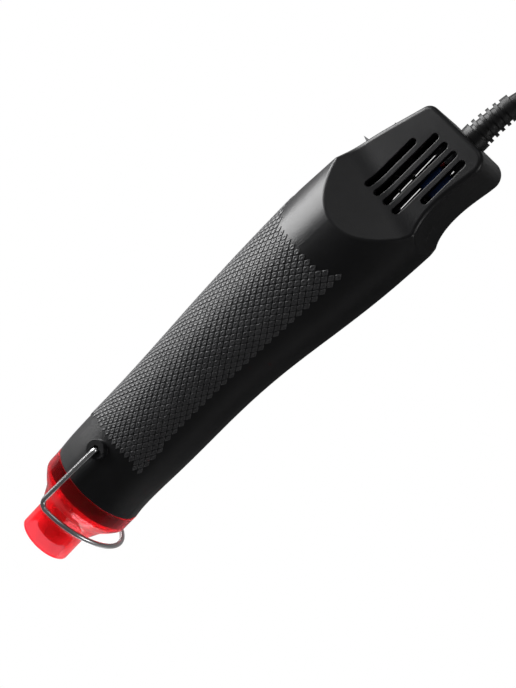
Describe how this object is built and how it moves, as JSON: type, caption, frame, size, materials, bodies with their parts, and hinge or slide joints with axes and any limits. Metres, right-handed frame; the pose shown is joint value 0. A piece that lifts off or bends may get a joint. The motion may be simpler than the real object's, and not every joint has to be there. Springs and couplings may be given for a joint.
{
  "type": "embossing heat tool",
  "caption": "Handheld hot-air tool with a flared barrel, a flat slotted head with a rocker switch, a translucent nozzle shroud, a swinging wire stand and a put-away mains cord",
  "frame": {"origin": "centre of the nozzle's tip face", "axes": "X along the barrel towards the nozzle, Y towards the belly away from the switch, Z towards the half that faces up as it lies on its side"},
  "size_m": [0.3569, 0.0738, 0.047],
  "materials": {
    "black_plastic": "fine satin grain",
    "red_plastic": "translucent, glossy",
    "steel_tube": "rolled sheet",
    "mica": "flaky sheet",
    "heating_wire": "dull",
    "cutout_steel": "plain",
    "motor_steel": "plated",
    "white_plastic": "plain",
    "copper": "enamelled wire",
    "fan_plastic": "plain",
    "switch_black": "smooth",
    "rocker_grey": "smooth",
    "board_green": "lacquered",
    "capacitor_blue": "dipped",
    "diode_black": "plain",
    "cord_rubber": "satin",
    "screw_steel": "blackened",
    "plug_brass": "plain",
    "stand_wire": "polished",
    "lead_red": "plain",
    "lead_black": "plain"
  },
  "bodies": {
    "housing": {"housing_left": "black_plastic", "housing_right": "black_plastic", "nozzle_shroud": "red_plastic", "outlet_tube": "steel_tube", "heater_ring": "steel_tube", "mica_sleeve": "mica", "mica_cross": "mica", "heating_coil": "heating_wire", "thermal_cutout": "cutout_steel", "motor_can": "motor_steel", "motor_end_cap": "white_plastic", "motor_mount": "fan_plastic", "switch_body": "switch_black", "circuit_board": "board_green", "capacitor": "capacitor_blue", "rectifier_diodes": "diode_black", "strain_relief": "cord_rubber", "cord": "cord_rubber", "cord_inner_end": "cord_rubber", "cord_coil": "cord_rubber", "cord_clamp": "fan_plastic", "clamp_screws": "screw_steel", "housing_screws": "screw_steel", "plug_body": "cord_rubber", "plug_blades": "plug_brass", "live_lead": "lead_red", "neutral_lead": "lead_black", "motor_leads": "lead_red", "heater_leads": "lead_black"},
    "fan": {"motor_shaft": "motor_steel", "motor_armature": "copper", "fan_impeller": "fan_plastic"},
    "rocker": {"switch_rocker": "rocker_grey"},
    "stand": {"wire_stand": "stand_wire"}
  },
  "joints": [
    {"name": "fan_spin", "type": "hinge", "parent": "housing", "child": "fan", "pos_m": [-0.1, 0, 0], "axis": [1, 0, 0], "continuous": true},
    {"name": "rocker_press", "type": "hinge", "parent": "housing", "child": "rocker", "pos_m": [-0.20091, -0.00859, 0], "axis": [0, 0, 1], "range_deg": [0, 20]},
    {"name": "stand_swing", "type": "hinge", "parent": "housing", "child": "stand", "pos_m": [-0.0494, 0, 0], "axis": [0, 0, 1], "range_deg": [0, 90]}
  ]
}
